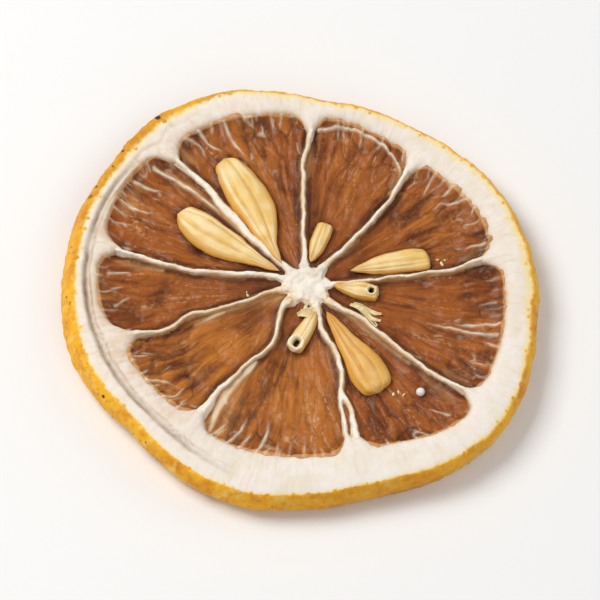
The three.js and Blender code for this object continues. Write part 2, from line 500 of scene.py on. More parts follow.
def rindFinish():
    look = {
        "pith": (0.85, 0.76, 0.63),
        "pithLight": (0.93, 0.87, 0.81),
        "pithShade": (0.70, 0.46, 0.24),
        # painted shade for the crease grooves, also used for the darker skin on the pith's inner wall
        "fold": (0.22, 0.14, 0.085),
        "peelPale": (0.95, 0.73, 0.22),
        "peel": (0.93, 0.47, 0.014),
        "peelDeep": (0.72, 0.26, 0.006),
        "peelUnder": (0.50, 0.185, 0.010),
        "speck": (0.07, 0.025, 0.006),
    }
    scale = {"mottle": 260, "blotch": 1100, "fine": 3200, "dots": 1150, "glands": 1500, "blush": 420,
             "speckle": 430, "speckled": 130}
    f = Finish("dried pith and peel")
    at = f.place()
    fibre = f.mark("fibre", vector=True)
    peelDepth = f.mark("peelDepth")                 # 0 inside the pith, rising to 1 at the peel's face
    golden = f.mark("golden")                       # where the peel has ripened deepest
    hollow = f.mark("hollow")
    lining = f.mark("lining")                       # the skin between pith and pulp
    aged = f.mark("aged")
    mottle = f.noise(at, scale["mottle"], 5, 0.6)
    blotch = f.noise(at, scale["blotch"], 3, 0.5)
    fine = f.noise(at, scale["fine"], 3, 0.6)
    streak = f.noise(fibre, 1.0, 4, 0.6)
    pith = f.mix(f.step(mottle, 0.36, 0.60), look["pith"], look["pithLight"])
    pith = f.mix(f.step(streak, 0.52, 0.72) * (0.18 + 0.4 * aged), pith, look["pithShade"])
    pith = f.mix(f.step(mottle + blotch * 0.4, 0.62, 0.82) * (0.12 + 0.4 * aged), pith, look["pithShade"])
    # painted shade in the crease grooves, and the darker skin on the pith's inner wall
    pith = f.mix((hollow * (0.6 + blotch)).held() * 0.9, pith, look["fold"])
    pith = f.mix((lining * (0.2 + blotch * 1.3)).held() * 0.75, pith, look["pithShade"])
    pith = f.mix(aged * 0.11 + 0.03, pith, look["pithShade"])
    dots = f.step(f.cells(at, scale["dots"]), 0.34, 0.12)    # oil glands cut open along the edge
    teeth = peelDepth + (streak - 0.5) * 0.25 + (blotch - 0.5) * 0.4 + dots * 0.22
    pale = f.step(teeth, 0.22, 0.62)
    deep = f.step(teeth + golden * 0.22, 0.62, 0.88)
    glands = f.cells(at, scale["glands"])
    blush = f.noise(at, scale["blush"], 4, 0.6)
    peel = f.mix(f.step(blush, 0.42, 0.70), look["peel"], look["peelDeep"])
    peel = f.mix(f.step(glands, 0.36, 0.10) * 0.4, peel, look["peelDeep"])
    peel = f.mix(f.step(blotch, 0.50, 0.72) * 0.5, peel, look["peelPale"])
    height = f.node("SeparateXYZ", inputs={"Vector": at}, output="Z")
    # the peel's side turns darker towards its foot, added to the darker patches that the tanned marks give
    low = f.step(height + (mottle - 0.5) * 0.003, 0.0030, 0.0013)
    tanned = f.mark("tanned") * (0.30 + 0.45 * f.step(blotch * 0.5 + mottle * 0.5, 0.42, 0.58) + low * 0.5)
    peel = f.mix(tanned, peel, look["peelUnder"])
    speckle = f.step(f.cells(at, scale["speckle"]), 0.13, 0.05)
    speckle = speckle * f.step(f.noise(at, scale["speckled"], 2), 0.50, 0.58)
    peel = f.mix(speckle * deep * (golden * 2.4 - 1.9), peel, look["speck"])
    colour = f.mix(pale * (0.6 + 0.35 * golden), pith, look["peelPale"])
    colour = f.mix(deep, colour, peel)
    colour = f.mix(f.step(f.mark("spot") + (blotch - 0.5) * 0.5, 0.35, 0.75), colour, look["speck"])
    rough = 0.80 - deep * 0.25
    pits = f.step(glands, 0.0, 0.45) * deep
    grain = fine * (1 - deep) * 0.4 + streak * 0.8 * (1 - deep) + blotch * 0.4 + pits * 1.2
    normal = f.bump(grain, 0.00009, 0.85)
    return f.surface(Base_Color=colour, Roughness=rough, Normal=normal, Subsurface_Weight=0.15,
                     Subsurface_Radius=(1.0, 0.75, 0.45), Subsurface_Scale=0.0005, Specular_Ior_Level=0.25)


def membraneFinish():
    look = {
        "skin": (0.84, 0.70, 0.50),
        "white": (0.95, 0.88, 0.75),
        "tan": (0.58, 0.31, 0.11),
        "amber": (0.28, 0.10, 0.025),
        "core": (0.72, 0.62, 0.50),
        "gold": (0.80, 0.42, 0.10),
    }
    scale = {"patch": 500, "fine": 2200}
    f = Finish("dried membrane")
    at = f.place()
    height = f.mark("height")                       # 0 at the pulp, 1 on the crest
    middle = f.mark("middle")                       # 1 in the core
    brown = f.mark("brown")                         # how far the wall has browned
    patch = f.noise(at, scale["patch"], 4, 0.6)
    fine = f.noise(at, scale["fine"], 4, 0.6)
    colour = f.mix(f.step(patch + middle * 0.15 - brown * 0.2, 0.34, 0.56), look["skin"], look["white"])
    low = f.step(height + (fine - 0.5) * 0.5 - brown * 0.25, 0.78, 0.35)
    colour = f.mix(low * 0.9, colour, look["tan"])
    colour = f.mix(f.step(height + (patch - 0.5) * 0.3, 0.30, 0.0), colour, look["amber"])
    colour = f.mix(f.step(patch - middle * 0.08, 0.58, 0.74) * 0.4, colour, look["tan"])
    colour = f.mix(middle * (0.15 + 0.5 * f.step(patch, 0.40, 0.62)), colour, look["core"])
    golden = f.mark("gold") * f.step(fine * 0.6 + patch * 0.4, 0.38, 0.56)
    colour = f.mix(golden * 0.85, colour, look["gold"])
    normal = f.bump(fine + patch * 0.5, 0.00008, 0.8)
    return f.surface(Base_Color=colour, Roughness=0.66 - low * 0.2, Normal=normal, Subsurface_Weight=0.12,
                     Subsurface_Radius=(1.0, 0.7, 0.4), Subsurface_Scale=0.0004, Specular_Ior_Level=0.25)


def pulpFinish():
    look = {
        # the pulp's own darkest brown, also used for painted shade
        "deepBrownAndShade": (0.045, 0.011, 0.004),
        "dark": (0.15, 0.040, 0.011),
        "brown": (0.31, 0.079, 0.016),
        "amber": (0.57, 0.198, 0.029),
        "tan": (0.67, 0.36, 0.14),
        "glint": (0.78, 0.53, 0.31),
        "skin": (0.93, 0.81, 0.60),
    }
    scale = {"mottle": 240, "streak": 0.9, "fine": 2600, "patch": 210, "net": 0.55, "otherNet": 0.8}
    f = Finish("dried pulp")
    at = f.place()
    fibre = f.mark("fibre", vector=True)
    ridge = f.mark("ridge")
    # each segment's own amber, and a painted glow of light shining through the pulp
    glow = f.mark("glow")
    thread = f.mark("thread")                        # dried skins of single juice sacs
    film = f.mark("film")                            # membrane spread thinly over the pulp
    dry = f.mark("dry")                              # 1 against the pith
    # painted shade: in the hollows between sacs, in low relief, along the membranes and around the seeds
    sunk = f.mark("sunk")
    mottle = f.noise(at, scale["mottle"], 3, 0.5, 0.3)
    streak = f.noise(fibre, scale["streak"], 3, 0.5, 0.25)
    fine = f.noise(at, scale["fine"], 4, 0.65, 0.3)
    patch = f.noise(at, scale["patch"], 2, 0.5)
    net = f.cells(fibre, scale["net"], "DISTANCE_TO_EDGE")
    otherNet = f.cells(f.mark("fibreToo", vector=True), scale["otherNet"], "DISTANCE_TO_EDGE")
    streak = f.mix(f.mark("calm") * 0.75, streak, (0.5, 0.5, 0.5))    # the streaks fade towards the core
    tone = mottle * 0.58 + streak * 0.42
    base = f.mix(f.step(tone - (0.3 - glow).most(0) * 0.16, 0.36, 0.54), look["dark"], look["brown"])
    base = f.mix(glow * f.step(tone, 0.30, 0.58) * 0.9, base, look["amber"])
    base = f.mix(f.step(streak, 0.53, 0.70) * (0.24 + 0.42 * glow), base, look["amber"])
    # darkest brown where the tone is low, at random
    base = f.mix(f.step(tone, 0.43, 0.33) * (0.5 - glow * 0.4), base, look["deepBrownAndShade"])
    base = f.mix(sunk * 0.85, base, look["deepBrownAndShade"])
    # painted shade in thin creases between sacs
    base = f.mix(f.step(otherNet, 0.05, 0.0) * f.step(patch, 0.62, 0.42) * 0.3, base, look["deepBrownAndShade"])
    lit = f.step(net, 0.06, 0.01) * f.step(fine, 0.42, 0.60) * f.step(mottle, 0.46, 0.60)
    base = f.mix(lit * (0.14 + ridge * 0.45), base, look["glint"])
    base = f.mix(ridge * f.step(fine, 0.46, 0.62) * 0.22, base, look["tan"])
    base = f.mix(f.step(dry + (streak - 0.5) * 0.8, 0.60, 0.95) * 0.7, base, look["tan"])
    base = f.mix(film * (0.45 + 0.4 * f.step(streak, 0.36, 0.62)), base, look["tan"])
    base = f.mix(f.step(film + (streak - 0.5) * 0.3, 0.55, 1.15) * 0.7, base, look["skin"])
    base = f.mix(thread * f.step(fine, 0.15, 0.45), base, look["skin"])
    rough = 0.34 + 0.3 * f.step(fine, 0.4, 0.7) + dry * 0.1
    grain = fine * 0.22 + streak * 0.9 + mottle * 0.6
    normal = f.bump(grain, 0.00015, 0.85)
    return f.surface(Base_Color=base, Roughness=rough, Normal=normal, Coat_Weight=0.12, Coat_Roughness=0.25,
                     Subsurface_Weight=0.1, Subsurface_Radius=(1.0, 0.35, 0.1), Subsurface_Scale=0.0005,
                     Specular_Ior_Level=0.12)


def seedFinish():
    look = {
        "husk": (0.76, 0.36, 0.045),
        "yellow": (0.87, 0.58, 0.17),
        "pale": (0.95, 0.77, 0.42),
        "deep": (0.50, 0.18, 0.018),
        # painted shade inside the seeds' openings
        "pit": (0.02, 0.010, 0.005),
        "tip": (0.62, 0.27, 0.032),
        "lip": (0.95, 0.86, 0.62),
    }
    scale = {"streak": 0.8, "mottle": 380, "fine": 1500}
    f = Finish("seed husk")
    at = f.place()
    grain = f.mark("grain", vector=True)             # runs along the seed
    tip = f.mark("tip")
    pit = f.mark("pit")
    crease = f.mark("crease")
    flank = f.mark("flank")
    ripe = f.mark("ripe")
    streak = f.noise(grain, scale["streak"], 3, 0.5)
    mottle = f.noise(at, scale["mottle"], 3, 0.5)
    fine = f.noise(at, scale["fine"], 3, 0.6)
    colour = f.mix(f.step(mottle * 0.55 + streak * 0.45, 0.38, 0.58), look["yellow"], look["pale"])
    # painted shade on the seed's sides, which also carry the husk's own deeper orange, so the top is left
    # lighter as a painted highlight
    colour = f.mix((flank * (0.45 + mottle * 0.7)).held() * 0.9, colour, look["husk"])
    colour = f.mix(ripe * (0.9 - mottle * 0.5), colour, look["husk"])
    colour = f.mix(f.step(streak, 0.40, 0.28) * 0.4, colour, look["deep"])
    # painted shade in the husk's folds, together with their own darker lines
    colour = f.mix(crease * 0.75, colour, look["deep"])
    colour = f.mix((tip * (0.4 + mottle * 0.7)).held() * 0.8, colour, look["tip"])
    colour = f.mix(f.mark("lip") * 0.8, colour, look["lip"])
    # the opening painted near black, as shade inside the hollow
    colour = f.mix(pit, colour, look["pit"])
    normal = f.bump(streak * 0.7 + mottle * 0.5 + fine * 0.15, 0.00011, 0.8)
    return f.surface(Base_Color=colour, Roughness=0.40 + 0.2 * mottle, Normal=normal, Coat_Weight=0.15,
                     Coat_Roughness=0.3, Subsurface_Weight=0.12, Subsurface_Radius=(1.0, 0.6, 0.25),
                     Subsurface_Scale=0.0005, Specular_Ior_Level=0.3)


def scrapFinish():
    look = {"straw": (0.74, 0.58, 0.27), "pale": (0.90, 0.85, 0.62), "scale": 900}
    f = Finish("torn seed skin")
    patch = f.noise(f.place(), look["scale"], 4, 0.6)
    colour = f.mix(f.step(patch, 0.4, 0.62), look["straw"], look["pale"])
    return f.surface(Base_Color=colour, Roughness=0.6, Normal=f.bump(patch, 0.0001, 0.7),
                     Subsurface_Weight=0.1, Subsurface_Scale=0.0004)


def grainFinish():
    look = {"grey": (0.80, 0.77, 0.72), "white": (0.94, 0.93, 0.90), "scale": 3000}
    f = Finish("white grain")
    patch = f.noise(f.place(), look["scale"], 3)
    colour = f.mix(patch, look["grey"], look["white"])
    return f.surface(Base_Color=colour, Roughness=0.5, Normal=f.bump(patch, 0.00005, 0.6),
                     Subsurface_Weight=0.2, Subsurface_Scale=0.0004)


def floorFinish():
    look = {"low": (0.90, 0.89, 0.87), "high": (0.92, 0.91, 0.89), "scale": 14}
    f = Finish("pale table")
    patch = f.noise(f.place(), look["scale"], 3)
    colour = f.mix(patch, look["low"], look["high"])
    return f.surface(Base_Color=colour, Roughness=0.7)


finishes = {
    "rind": rindFinish(),
    "membrane": membraneFinish(),
    "pulp": pulpFinish(),
    "seed": seedFinish(),
    "scrap": scrapFinish(),
    "grain": grainFinish(),
    "floor": floorFinish(),
}
print("finishes ready")


# ---- camera, light and table ----

studio = {
    "elevation": 62,             # the camera's angle above the table
    "lens": 350,
    "away": 0.565,
    "aim": (0.0, 0.0, 0.0016),
    "lights": [                  # name, place, size, power, colour
        ("window", (-0.22, 0.10, 0.34), 0.22, 1.25, (1.0, 0.985, 0.96)),
        ("frontFill", (0.12, -0.30, 0.26), 0.30, 0.3, (1.0, 0.99, 0.98)),
        ("sideFill", (0.30, 0.10, 0.20), 0.22, 0.2, (0.97, 0.985, 1.0)),
    ],
    "sky": (0.93, 0.95, 1.0),
    "skyStrength": 0.36,
    "tableSize": 3,
    "tableTop": -0.00004,        # just clear of the slice's underside
}


def buildStudio():
    rise = math.radians(studio["elevation"])
    back = (0, -math.cos(rise), math.sin(rise))
    place = [aim + studio["away"] * b for aim, b in zip(studio["aim"], back)]
    bpy.ops.object.camera_add(location=place, rotation=(math.pi / 2 - rise, 0, 0))
    camera = bpy.context.object
    camera.name = "camera"
    camera.data.lens = studio["lens"]
    camera.data.clip_start = 0.01
    camera.data.clip_end = 10
    bpy.context.scene.camera = camera
    for name, place, size, power, colour in studio["lights"]:
        bpy.ops.object.light_add(type="AREA", location=place)
        lamp = bpy.context.object
        lamp.name = name
        lamp.data.size = size
        lamp.data.energy = power
        lamp.data.color = colour
        aim = [t - p for t, p in zip(studio["aim"], place)]
        flat = math.hypot(aim[0], aim[1])
        lamp.rotation_euler = (math.atan2(flat, -aim[2]), 0, math.atan2(-aim[0], aim[1]))
    world = bpy.data.worlds.new("soft sky")
    world.use_nodes = True
    sky = world.node_tree.nodes["Background"]
    sky.inputs["Color"].default_value = (*studio["sky"], 1)
    sky.inputs["Strength"].default_value = studio["skyStrength"]
    bpy.context.scene.world = world
    bpy.context.scene.view_settings.view_transform = "Standard"
    bpy.ops.mesh.primitive_plane_add(size=studio["tableSize"], location=(0, 0, studio["tableTop"]))
    table = bpy.context.object
    bpy.ops.object.transform_apply(location=True, rotation=True, scale=True)
    table.name = "table"
    table.data.materials.append(finishes["floor"])


clearSelection()
buildStudio()
print("studio ready")


# ---- rind: pith and peel as one ring ----

rind = {
    "around": 1080,
    "section": 84,
    "tube": (0.021, 0.0018),     # the ring's and the tube's radii at the start, in metres
    "points": [                  # share across from pulp edge to peel, offset out, share of flare, height
        (0.0, 0.22, 0, 1.75), (0.0, 0.05, 0, 2.55), (0.03, 0.0, 0, 3.08), (0.15, 0.0, 0, 3.46),
        (0.36, 0.0, 0, 3.66), (0.56, 0.0, 0, 3.68), (0.76, 0.0, 0, 3.64), (0.91, 0.0, 0, 3.5),
        (1.0, 0.0, 0, 3.14), (1.0, 0.22, 0.2, 2.6), (1.0, 0.33, 0.5, 1.9), (1.0, 0.26, 0.9, 1.15),
        (1.0, -0.1, 0.8, 0.42), (0.93, 0.0, 0.2, 0.08), (0.72, 0.0, 0, 0.0), (0.45, 0.0, 0, 0.0),
        (0.22, 0.0, 0, 0.06), (0.06, 0.0, 0, 0.36), (0.0, 0.06, 0, 0.78), (0.0, 0.16, 0, 1.2),
    ],
    "flare": [(0, 0), (100, 0), (150, 0.3), (175, 0.5), (198, 0.45), (212, 0.05), (225, -0.15), (240, 0.0),
              (262, 0.1), (285, 0), (302, -0.4), (318, -0.5), (335, -0.2)],
    "crease": [(140, 21.0), (150, 21.4), (170, 21.5), (195, 21.2), (210, 21.0), (225, 20.9), (238, 21.3),
               (252, 22.1)],
    "folds": [(0, 0.22, -0.6), (-0.5, 0.12, -0.16), (0.42, 0.3, 0.12)],    # off the crease, width, height
    "faintFold": (0.52, 0.2, -0.12),                # share across, width, height
    "faintEnds": (112, 182),
    # swells of the surface: height, size, layers and seed of each
    "edgeSwells": [(0.10, 0.9, 1, 3), (0.06, 0.42, 1, 4)],
    "rimSwells": [(0.16, 3.2, 1, 5), (0.05, 0.75, 1, 6)],
    "swells": [(0.07, 4.5, 1, 7), (0.07, 1.9, 2, 8)],
    "fibreSwells": [(0.05, 1.0, 1, 9), (0.025, 0.45, 1, 10)],
    "peelSwells": [(0.07, 0.9, 2, 14)],
    "glandDepth": 0.06,
    "scallop": 0.07,
    # marks round the ring, by angle
    "peelBand": [(0, 1.3), (30, 1.25), (60, 1.1), (90, 1.0), (108, 1.1), (120, 1.5), (130, 1.7), (150, 1.35),
                 (180, 1.1), (210, 0.85), (235, 0.65), (255, 0.45), (285, 0.55), (300, 0.7), (330, 0.8),
                 (345, 1.05)],
    "aged": [(0, 0.2), (60, 0.25), (95, 0.25), (125, 0.6), (150, 0.9), (180, 1.0), (215, 0.8), (245, 0.35),
             (270, 0.05), (330, 0.0)],
    "tanned": [(0, 0.2), (60, 0.1), (100, 0.2), (122, 0.8), (145, 0.85), (160, 0.6), (176, 0.2), (215, 0.06),
               (248, 0.04), (264, 0.32), (300, 0.50), (335, 0.35)],
    "golden": [(0, 0.0), (60, 0.1), (90, 0.2), (112, 0.5), (126, 1.0), (150, 1.0), (200, 1.0), (240, 0.95),
               (262, 0.7), (300, 0.6), (330, 0.4)],
    "spots": [                   # angle, height and size
        (128.6, 3.4, 0.34), (152.9, 3.3, 0.18), (156, 3.2, 0.34), (183.6, 2.8, 0.17), (212.4, 2.9, 0.24),
        (228.3, 2.8, 0.14), (141, 3.3, 0.2), (146, 3.4, 0.16), (170, 2.9, 0.14), (262, 2.2, 0.12),
    ],
}


def buildRind():
    bpy.ops.mesh.primitive_grid_add(x_subdivisions=rind["around"], y_subdivisions=rind["section"], size=1,
                                    location=(0, 0, 0))
    ring = bpy.context.object
    sheet = readPoints(ring) * 2 * np.pi                 # rolled up into a tube, and the tube into a ring
    ringRadius, tubeRadius = rind["tube"]
    writePoints(ring, plane(ringRadius + tubeRadius * np.cos(sheet[:, 1]), np.degrees(sheet[:, 0]),
                            tubeRadius * np.sin(sheet[:, 1])))
    tidyMesh(ring)
    start = readPoints(ring)
    angle = np.degrees(np.arctan2(start[:, 1], start[:, 0]))
    aroundTube = np.degrees(np.arctan2(start[:, 2], np.hypot(start[:, 0], start[:, 1]) - ringRadius))
    along = np.mod(180 - aroundTube, 360) / 360
    points = rind["points"]
    flat = np.array([(share * 4 + out, height) for share, out, _, height in points])
    steps = np.linalg.norm(np.roll(flat, -1, axis=0) - flat, axis=1)
    places = np.concatenate([[0], np.cumsum(steps)[:-1]]) / steps.sum()
    share, out, lean, height = [curveThrough(list(zip(places, column)), along, 1) for column in zip(*points)]
    share = np.clip(share, 0, 1)
    wide = plane(21, angle)
    edge = pithEdge(angle) + swells(wide, rind["edgeSwells"])
    rim = rimAt(angle) + swells(wide, rind["rimSwells"])
    smoothEdge = edge * (1 - share) + slicePlan["ringEdge"] * share
    radius = smoothEdge + (rim - smoothEdge) * share + out + lean * curveThrough(rind["flare"], angle, 360)
    ringPoints = plane(radius, angle, height)
    placePoints(ring, ringPoints)

    onTop = smoothStep(2.6, 3.3, height)
    under = smoothStep(0.8, 0.2, height)
    onPeel = smoothStep(0.9, 1.0, share) * (1 - onTop * 0.6) * (1 - under)
    fibre = plane(21 / 0.5, angle) + upright((radius + height) / 2.4)
    relief = swells(ringPoints, rind["swells"]) + swells(fibre, rind["fibreSwells"]) * (1 - onPeel)

    turned = np.mod(angle, 360)
    firstEnd, lastEnd = rind["crease"][0][0], rind["crease"][-1][0]
    window = np.sin(np.pi * np.clip((turned - firstEnd) / (lastEnd - firstEnd), 0, 1)) ** 0.6
    across = radius - curveThrough(rind["crease"], turned) - 0.10 * softNoise(wide, 1.6, 12)
    across = across + 0.05 * softNoise(wide, 0.7, 15)
    folding = window * onTop * (0.8 + 0.4 * softNoise(wide, 2.6, 16))
    wander = [0, -0.2 * softNoise(wide, 3.0, 17), 0]
    groove, second, bank = [bell(across - off - drift, halfWidth) * folding
                            for (off, halfWidth, _), drift in zip(rind["folds"], wander)]
    for fold, (_, _, rise) in zip((groove, second, bank), rind["folds"]):
        relief += rise * fold
    faintShare, faintWidth, faintRise = rind["faintFold"]
    faintStart, faintEnd = rind["faintEnds"]
    upper = np.clip((turned - faintStart) / (faintEnd - faintStart), 0, 1)
    upperAcross = (share - faintShare) * (rim - edge) + 0.3 * softNoise(wide, 2.2, 18)
    faint = bell(upperAcross, faintWidth) * np.sin(np.pi * upper) * onTop
    relief += faintRise * faint
    glands = rind["glandDepth"] * foldNoise(ringPoints, 0.8, 1, 13)
    relief += (swells(ringPoints, rind["peelSwells"]) - glands) * onPeel
    onRim = bell(share - 0.97, 0.05) * smoothStep(2.0, 3.0, height)
    relief += rind["scallop"] * softNoise(wide, 0.62, 19) * onRim
    pushOut(ring, relief)
    points = readPoints(ring)
    points[:, 2] = np.maximum(points[:, 2], 0)
    writePoints(ring, points)

    band = curveThrough(rind["peelBand"], turned, 360) * np.where(height < 1.8, 1.2, 1.0)
    inward = np.maximum(rim - radius, 0) / band
    onSide = smoothStep(0.97, 1.0, share) * smoothStep(3.6, 2.9, height) * smoothStep(0.0, 0.5, height)
    spot = np.zeros(len(radius))
    for place, level, size in rind["spots"]:
        sideways = np.radians(angleFrom(turned, place)) * 23
        spot = np.maximum(spot, bell(np.hypot(sideways, height - level), size) * (share > 0.88))
    innerSkin = 0.4 * smoothStep(2.9, 2.4, height) * (share < 0.05) * smoothStep(1.0, 1.6, height)
    aged = curveThrough(rind["aged"], turned, 360) * smoothStep(1.0, 0.35, share)
    addMarks(ring, fibre=fibre, spot=spot,
             peelDepth=np.maximum(np.clip(1 - 0.75 * inward, 0, 1), onSide),
             golden=np.clip(curveThrough(rind["golden"], turned, 360), 0, 1),
             tanned=np.clip(curveThrough(rind["tanned"], turned, 360), 0, 1),
             hollow=np.clip(groove + second * 0.6 + faint * 0.25 + innerSkin, 0, 1),
             lining=bell(radius - edge, 0.28) * smoothStep(1.0, 2.4, height),
             aged=np.clip(aged, 0, 1))
    tidyMesh(ring)
    finishPiece(ring, "rind", "pith", finishes["rind"], "slice")


clearSelection()
buildRind()


# ---- the seeds' places, which the pulp rises to meet ----

seedPlan = {
    "middle": 2.4,
    "tipLift": 0.5,              # the beaks lie up against the core
    "shares": (0, 0.04, 0.12, 0.25, 0.4, 0.55, 0.7, 0.82, 0.92, 1),
    "seeds": {                   # blunt end, tip, width, thickness, radius of the opening, and a shape
        "seed_1": ((12.0, 2.9), (4.2, 1.45), 2.6, 1.7, 0, "leaning"),
        "seed_2": ((1.9, 6.9), (0.4, 2.4), 1.7, 1.3, 0, "square"),
        "seed_3": ((-8.1, 14.2), (-2.4, 2.2), 3.9, 2.1, 0, "kiteLeft"),
        "seed_4": ((-12.6, 8.0), (-2.6, 1.4), 3.6, 2.1, 0, "kiteRight"),
        "seed_5": ((-1.4, -7.1), (0.9, -3.0), 1.8, 1.5, 0.48, "square"),
        "seed_6": ((7.0, -11.6), (1.9, -3.0), 3.8, 2.1, 0, "drop"),
        "seed_7": ((7.0, -0.9), (2.6, -0.1), 1.8, 1.5, 0.3, "square"),
    },
    "shapes": {                  # half widths to the right, then to the left, looking to the tip
        "leaning": ((0, 0.36, 0.52, 0.58, 0.58, 0.54, 0.42, 0.27, 0.12, 0),
                    (0, 0.34, 0.40, 0.40, 0.36, 0.30, 0.24, 0.16, 0.09, 0)),
        "square": ((0, 0.40, 0.48, 0.50, 0.50, 0.46, 0.38, 0.30, 0.20, 0),
                   (0, 0.40, 0.48, 0.50, 0.50, 0.46, 0.38, 0.30, 0.20, 0)),
        "kiteLeft": ((0, 0.26, 0.38, 0.43, 0.40, 0.32, 0.23, 0.15, 0.10, 0),
                     (0, 0.26, 0.40, 0.52, 0.59, 0.56, 0.36, 0.15, 0.08, 0)),
        "kiteRight": ((0, 0.20, 0.40, 0.56, 0.58, 0.48, 0.32, 0.20, 0.12, 0),
                      (0, 0.34, 0.42, 0.44, 0.40, 0.32, 0.22, 0.14, 0.08, 0)),
        "drop": ((0, 0.36, 0.50, 0.56, 0.50, 0.38, 0.26, 0.17, 0.10, 0),
                 (0, 0.32, 0.42, 0.44, 0.36, 0.26, 0.20, 0.15, 0.10, 0)),
    },
    "folds": {                   # the husk's lengthwise folds, from -1 on the left to 1 on the right
        "leaning": (0.1, -0.5),
        "square": (0.15,),
        "kiteLeft": (0.42, -0.25),
        "kiteRight": (-0.5, 0.3),
        "drop": (0.35, -0.3),
    },
    "foldDepth": 0.07,
    "swells": [(0.14, 1.9, 1, 2), (0.05, 0.8, 1, 3)],    # height, size, layers and seed
    "lengthwiseSwells": [(0.07, 1.1, 1, 0), (0.03, 0.45, 1, 1)],
    "lip": 0.12,
    "pitDepth": 0.75,
    "opening": 0.17,             # share along the seed
}


def seedHalf(shape, share, right):
    # half a seed's width, as a share of its greatest, on the right or the left
    sides = [curveThrough(list(zip(seedPlan["shares"], knots)), share) for knots in seedPlan["shapes"][shape]]
    return np.maximum(np.where(right, sides[0], sides[1]), 0)


def seedAxis(blunt, tip):
    # length, direction from the blunt end to the tip, and the direction to the right of it
    axis = np.array(tip) - np.array(blunt)
    length = np.linalg.norm(axis)
    axis = axis / length
    return length, axis, np.array([axis[1], -axis[0]])


def seedBank(points):
    # how near each point is to a seed's edge, 1 against it and 0 away
    near = np.zeros(len(points))
    for blunt, tip, width, _, _, shape in seedPlan["seeds"].values():
        length, axis, right = seedAxis(blunt, tip)
        offset = points[:, :2] - np.array(blunt)
        share = offset @ axis / length
        beyond = np.maximum(np.maximum(-share, share - 1), 0) * length
        side = offset @ right
        half = width * seedHalf(shape, np.clip(share, 0.02, 0.98), side > 0)
        near = np.maximum(near, bell(np.hypot(np.maximum(np.abs(side) - half, 0), beyond), 0.45))
    return near


# ---- pulp: one dried slab for each segment ----

